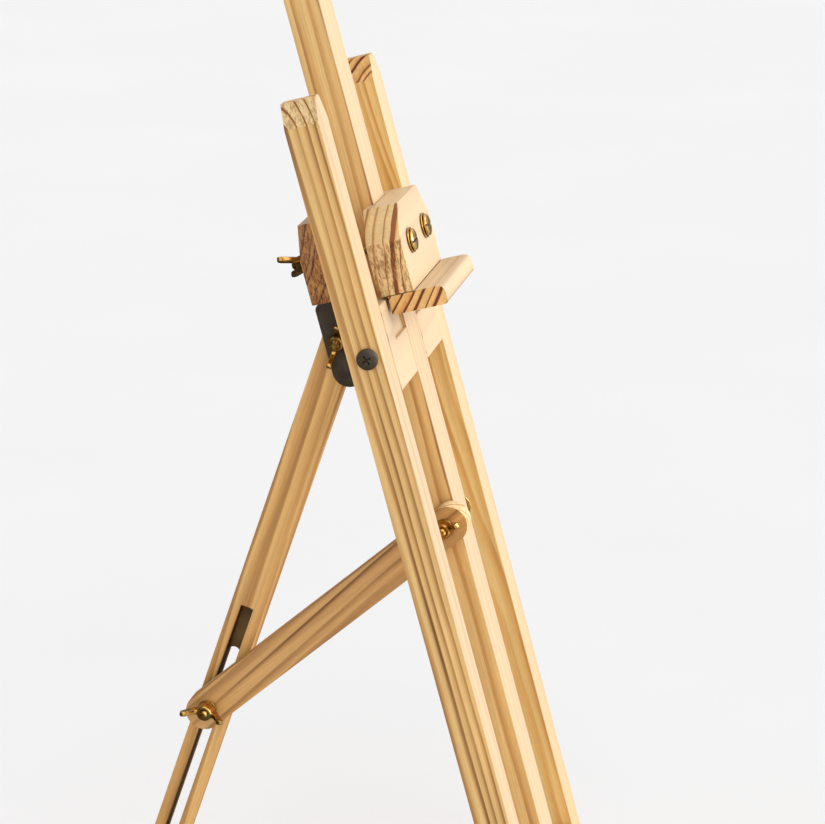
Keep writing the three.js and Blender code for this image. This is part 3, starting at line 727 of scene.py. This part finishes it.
def bolt_mesh(name, radius, length):
    """A slotted round-head bolt: head above z = 0, shank below, its far end threaded."""
    head = BOLT_HEAD
    low, high = -length + THREAD_END, -length + THREAD_LENGTH
    profile = [(0.0, -length), (radius - THREAD_DEPTH - THREAD_END, -length)]
    profile += thread(radius, low, int((high - low) / THREAD_PITCH), THREAD_PITCH, THREAD_CREST)
    profile += [(radius, high + THREAD_END), (radius, 0.0)]
    profile += [(head["radius"] - head["underside"], 0.0), (head["radius"], head["underside"])]
    profile += dome(head["radius"], head["rim"], head["height"])
    slot = block(f"{name}_slot", 3 * head["radius"], head["slot_width"], 2 * head["slot_depth"], head["height"])
    return combine(name, turned(name, profile), [slot])


def washer_mesh(name, outer, inner, thickness):
    """A punched washer with slightly rounded rims."""
    soft = WASHER_RIM
    profile = arc((inner + soft, soft), soft, 180, 270, RIM_STEPS)
    profile += arc((outer - soft, soft), soft, 270, 360, RIM_STEPS)
    profile += arc((outer - soft, thickness - soft), soft, 0, 90, RIM_STEPS)
    profile += arc((inner + soft, thickness - soft), soft, 90, 180, RIM_STEPS)
    return turned(name, profile + [profile[0]])


def cross_screw_mesh(name, head_radius, head_height, radius, length):
    """A wood screw with a low domed head, a tapered cross recess, a thread and a point."""
    point = 3 * radius
    turns = int((length - point) * WOOD_THREAD_SHARE / WOOD_THREAD_PITCH)
    profile = [(0.0, -length)]
    profile += thread(radius, -length + point, turns, WOOD_THREAD_PITCH, WOOD_THREAD_CREST)
    profile += [(radius - THREAD_DEPTH, 0.0), (head_radius - SCREW_UNDERSIDE, 0.0), (head_radius, SCREW_UNDERSIDE)]
    profile += dome(head_radius, SCREW_RIM * head_height, head_height)
    reach, width, depth = CROSS_REACH * head_radius, CROSS_WIDTH * head_radius, CROSS_DEPTH * head_height
    arms = [block(f"{name}_arm", reach, width, depth, head_height, CROSS_TAPER),
            block(f"{name}_arm", width, reach, depth, head_height, CROSS_TAPER)]
    return combine(name, turned(name, profile), arms)


def wing_mesh(name, side):
    """One flat wing, on the side of the hub that side gives (-1 or 1)."""
    work = bmesh.new()
    front, back = ([work.verts.new((side * across * MM, depth, height * MM)) for across, height in WING_OUTLINE]
                   for depth in (-WING_THICKNESS / 2, WING_THICKNESS / 2))
    work.faces.new(front)
    work.faces.new(list(reversed(back)))
    for index in range(len(WING_OUTLINE)):
        after = (index + 1) % len(WING_OUTLINE)
        work.faces.new((front[index], back[index], back[after], front[after]))
    return mesh_of(work, name)


def wing_nut_mesh(name, bolt_radius):
    """A cast wing nut standing on z = 0 with its wings along x: hub and wings melt into each other."""
    hub = [(0.0, 0.0), (HUB_BASE - 0.3 * MM, 0.0), (HUB_BASE, 0.3 * MM), (HUB_BASE, 1.0 * MM)]
    hub += [(HUB_TOP, HUB_HEIGHT - 0.9 * MM)]
    hub += arc((HUB_TOP - HUB_ROUND, HUB_HEIGHT - HUB_ROUND), HUB_ROUND, 0, 90, 5) + [(0.0, HUB_HEIGHT)]
    wings = [wing_mesh(f"{name}_wing", side) for side in (-1, 1)]
    cast = linked(name, combine(name, turned(name, hub), wings, "UNION"))
    melt = cast.modifiers.new("melt", "REMESH")
    melt.mode = "VOXEL"
    melt.voxel_size = CAST_GRID
    melt.use_smooth_shade = True
    smooth = cast.modifiers.new("smooth", "SMOOTH")
    smooth.factor = 0.5
    smooth.iterations = CAST_SMOOTHING
    thin = cast.modifiers.new("thin", "DECIMATE")
    thin.ratio = CAST_DETAIL
    bore = bolt_radius + BORE_GAP
    below, above = -2 * MM, 2 * HUB_HEIGHT
    drill = [(0.0, below), (bore + BORE_FLARE, below), (bore + BORE_FLARE, 0.0), (bore, BORE_FLARE),
             (bore, above), (0.0, above)]
    return combine(name, evaluated_copy(cast, name), [turned(f"{name}_bore", drill)])


# ---------------------------------------------------------------- fasteners put in place

# Each wing nut's wings are found in the part of it above this share of its height.
WINGS_FROM = 0.75
NEARLY_PARALLEL = 0.9


def seat_axes(direction, turn=0.0):
    """Axes whose z is a direction; x and y follow from it, then turn about it."""
    z = direction.normalized()
    x = FRAME_UP.cross(z) if abs(z.dot(FRAME_UP)) < NEARLY_PARALLEL else FRAME_REAR.cross(z)
    x.normalize()
    y = z.cross(x)
    axes = Matrix((x, y, z)).transposed()
    return axes @ Matrix.Rotation(turn, 3, "Z")


def put(node, mesh, direction, seat, material, turn=0.0):
    """Sets a fine mesh where a CAD fastener is: its z along direction, its z = 0 at seat on that line."""
    axes = seat_axes(direction, turn)
    centre = middle(node, axes.to_euler())
    z = axes.col[2]
    place = axes.to_4x4()
    place.translation = centre + z * (seat - centre.dot(z))
    mesh.transform(place)
    mesh.update()
    obj = new_object(f"{node}_fine", mesh)
    obj.data.materials.append(material)
    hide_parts(node)
    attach(obj, frame["nodes"][node]["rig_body"])


def wing_turn(node, direction):
    """How far about a direction the CAD wing nut's wings are turned from the seat's x."""
    axes = seat_axes(direction)
    points = [vertex.co for vertex in frame["nodes"][node].data.vertices]
    low, high = extent(node, direction)
    upper = [point for point in points if point.dot(direction) > low + WINGS_FROM * (high - low)]
    centre = sum(upper, Vector()) / len(upper)
    across = [((point - centre).dot(axes.col[0]), (point - centre).dot(axes.col[1])) for point in upper]
    mixed = sum(x * y for x, y in across)
    return 0.5 * math.atan2(2 * mixed, sum(x * x for x, _ in across) - sum(y * y for _, y in across))


# Bolt: the way its head faces, the shank's radius (mm) and the turn of its slot (degrees).
BOLTS = {
    "pivot_bolt": (RIGHT, 2.5, 30),
    "strut_bolt": (RIGHT, 2.5, 74),
    "slot_bolt": (RIGHT, 2.2, 12),
    "clamp_bolt_left": (FRAME_FRONT, 2.5, 4),
    "clamp_bolt_right": (FRAME_FRONT, 2.5, -9),
}
# Washer: the way it faces, its rim's radius and its hole's radius (mm).
WASHERS = {
    "pivot_washer": (LEFT, 5.6, 2.75),
    "strut_head_washer": (RIGHT, 7.2, 2.75),
    "strut_spacer_washer": (LEFT, 5.6, 2.75),
    "strut_nut_washer": (LEFT, 5.6, 2.75),
    "slot_head_washer": (RIGHT, 7.2, 2.45),
    "slot_spacer_washer": (LEFT, 7.2, 2.45),
    "slot_nut_washer": (LEFT, 5.6, 2.45),
    "clamp_front_washer_left": (FRAME_FRONT, 7.2, 2.75),
    "clamp_front_washer_right": (FRAME_FRONT, 7.2, 2.75),
    "clamp_rear_washer_left": (FRAME_REAR, 5.6, 2.75),
    "clamp_rear_washer_right": (FRAME_REAR, 5.6, 2.75),
}
# Wing nut: the way it faces and its bolt's radius (mm).
WING_NUTS = {
    "pivot_wing_nut": (LEFT, 2.5),
    "strut_wing_nut": (LEFT, 2.5),
    "slot_wing_nut": (LEFT, 2.2),
    "clamp_wing_nut_left": (FRAME_REAR, 2.5),
    "clamp_wing_nut_right": (FRAME_REAR, 2.5),
}
# Screw: the way its head faces, its kind (below) and the turn of its cross recess (degrees).
SCREWS = {
    "upper_frame_screw_left": (LEFT, "frame", 21),
    "upper_frame_screw_right": (RIGHT, "frame", 47),
    "lower_frame_screw_left": (LEFT, "frame", 62),
    "lower_frame_screw_right": (RIGHT, "frame", 8),
    "bracket_screw_lower": (FRAME_REAR, "bracket", 33),
    "bracket_screw_upper": (FRAME_REAR, "bracket", 71),
    "ledge_screw_left": (FRAME_FRONT, "ledge", 15),
    "ledge_screw_right": (FRAME_FRONT, "ledge", 52),
}
# Kind of screw: its head's radius and height, its shank's radius (mm) and its material slot.
SCREW_KINDS = {
    "frame": (6.0, 2.6, 2.2, "black_steel"),
    "bracket": (3.4, 1.8, 1.5, "black_steel"),
    "ledge": (3.4, 1.8, 1.5, "brass"),
}


def finish_metal():
    finishes = {"brass": brass("brass_plate"), "black_steel": black_steel("black_steel")}
    yellow = finishes["brass"]
    for node, (facing, radius, turn) in BOLTS.items():
        low, high = extent(node, facing)
        seat = high - BOLT_HEAD["height"]
        mesh = bolt_mesh(f"{node}_fine", radius * MM, seat - low)
        put(node, mesh, facing, seat, yellow, math.radians(turn))
    for node, (facing, outer, inner) in WASHERS.items():
        low, high = extent(node, facing)
        put(node, washer_mesh(f"{node}_fine", outer * MM, inner * MM, high - low), facing, low, yellow)
    for node, (facing, radius) in WING_NUTS.items():
        low, _ = extent(node, facing)
        mesh = wing_nut_mesh(f"{node}_fine", radius * MM)
        put(node, mesh, facing, low, yellow, wing_turn(node, facing))
    for node, (facing, kind, turn) in SCREWS.items():
        head, rise, shank, slot = SCREW_KINDS[kind]
        low, high = extent(node, facing)
        seat = high - rise * MM
        mesh = cross_screw_mesh(f"{node}_fine", head * MM, rise * MM, shank * MM, seat - low)
        put(node, mesh, facing, seat, finishes[slot], math.radians(turn))
    finish_node("hinge_bracket", finishes["black_steel"], "black_steel", STEEL_EDGE)


finish_wood()
finish_metal()

# ---------------------------------------------------------------- floor, light and camera

FLOOR_RADIUS = 20.0
FLOOR_BEND = 2.0
FLOOR_BEND_STEPS = 24
FLOOR_STEPS = 96
RIM_HEIGHT = 3.2

# Light: its direction from the easel, spread (degrees), strength and colour.
SUNS = {
    "key": ((0.3, -0.85, 0.45), 40, 2.6, (1.0, 0.995, 0.985)),
    "fill": ((-0.85, -0.25, 0.45), 60, 0.35, (1.0, 0.995, 0.99)),
}
SURROUND = (0.66, 0.66, 0.66, 1)
# What metal reflects: a bright wall this way, and a dim one the other way.
BRIGHT_WALL = Vector((-0.2, -0.75, 0.62)).normalized()
DIM, BRIGHT = (0.05, 0.042, 0.035, 1), (2.1, 2.1, 2.1, 1)
WALLS_BETWEEN = ((0.34, 0.12), (0.52, 0.4), (0.66, 1.1))

CAMERA_PLACE = (-1.64070, -0.38234, 0.82794)
CAMERA_TURN = math.radians(-78.169)
CAMERA_RISE = math.radians(16.336)
CAMERA_ROLL = math.radians(-0.064)
CAMERA_LENS = 133.71
CAMERA_SENSOR = 36.0
CAMERA_NEAR = 0.05


def studio_paper():
    """Matt pale paper with the faintest mottle."""
    s = Shader("studio_paper")
    return s.finish(
        Base_Color=s.ramp(s.noise(s.place, 3, 3, 0.5), [(0.3, tone(235, 235, 236)), (0.7, tone(237, 237, 238))]),
        Roughness=0.9,
        Specular_IOR_Level=0.1,
        Normal=s.bump(s.noise(s.place, 900, 2, 0.6), 0.05, 0.1 * MM),
    )


def sweep(material):
    """A wide round floor that curves up into a low pale rim, so that no edge shows from any side."""
    profile = [(0.0, 0.0)] + arc((FLOOR_RADIUS, FLOOR_BEND), FLOOR_BEND, -90, 0, FLOOR_BEND_STEPS)
    profile += [(FLOOR_RADIUS + FLOOR_BEND, RIM_HEIGHT)]
    floor = new_object("floor", turned("floor", profile, FLOOR_STEPS))
    floor.data.materials.append(material)
    floor.visible_glossy = False


def add_camera():
    data = bpy.data.cameras.new("camera")
    data.sensor_fit = "HORIZONTAL"
    data.sensor_width = CAMERA_SENSOR
    data.lens = CAMERA_LENS
    data.clip_start = CAMERA_NEAR
    camera = linked("camera", data)
    turn = Matrix.Rotation(CAMERA_TURN, 4, "Z") @ Matrix.Rotation(math.pi / 2 - CAMERA_RISE, 4, "X")
    camera.matrix_world = Matrix.Translation(CAMERA_PLACE) @ turn @ Matrix.Rotation(CAMERA_ROLL, 4, "Z")
    bpy.context.scene.camera = camera


def add_sun(name, towards, spread, strength, colour):
    """A very soft distant light; `towards` points from the easel to the light."""
    data = bpy.data.lights.new(name, "SUN")
    data.angle = math.radians(spread)
    data.energy = strength
    data.color = colour
    lamp = linked(name, data)
    lamp.rotation_euler = Vector(towards).to_track_quat("Z", "Y").to_euler()


def studio_world():
    """An even white surround; metal sees it as a bright front wall and a dim back one."""
    world = bpy.data.worlds.new("studio")
    world.use_nodes = True
    tree = world.node_tree
    add, link = tree.nodes.new, tree.links.new
    frontness = add("ShaderNodeVectorMath")
    frontness.operation = "DOT_PRODUCT"
    frontness.inputs[1].default_value = BRIGHT_WALL
    link(add("ShaderNodeTexCoord").outputs["Generated"], frontness.inputs[0])
    share = add("ShaderNodeMapRange")
    share.inputs["From Min"].default_value = -1
    link(frontness.outputs["Value"], share.inputs["Value"])
    walls = add("ShaderNodeValToRGB")
    stops = walls.color_ramp.elements
    stops[0].color, stops[1].color = DIM, BRIGHT
    for position, grey in WALLS_BETWEEN:
        stops.new(position).color = (grey, grey, grey, 1)
    link(share.outputs["Result"], walls.inputs["Fac"])
    choose = add("ShaderNodeMix")
    choose.data_type = "RGBA"
    choose.inputs[MIX_FIRST].default_value = SURROUND
    link(add("ShaderNodeLightPath").outputs["Is Glossy Ray"], choose.inputs[MIX_FACTOR])
    link(walls.outputs["Color"], choose.inputs[MIX_SECOND])
    link(choose.outputs[MIX_RESULT], tree.nodes["Background"].inputs["Color"])
    return world


def light_the_room():
    bpy.context.scene.world = studio_world()
    for name, light in SUNS.items():
        add_sun(name, *light)
    bpy.context.scene.view_settings.view_transform = "Standard"


sweep(studio_paper())
light_the_room()
add_camera()
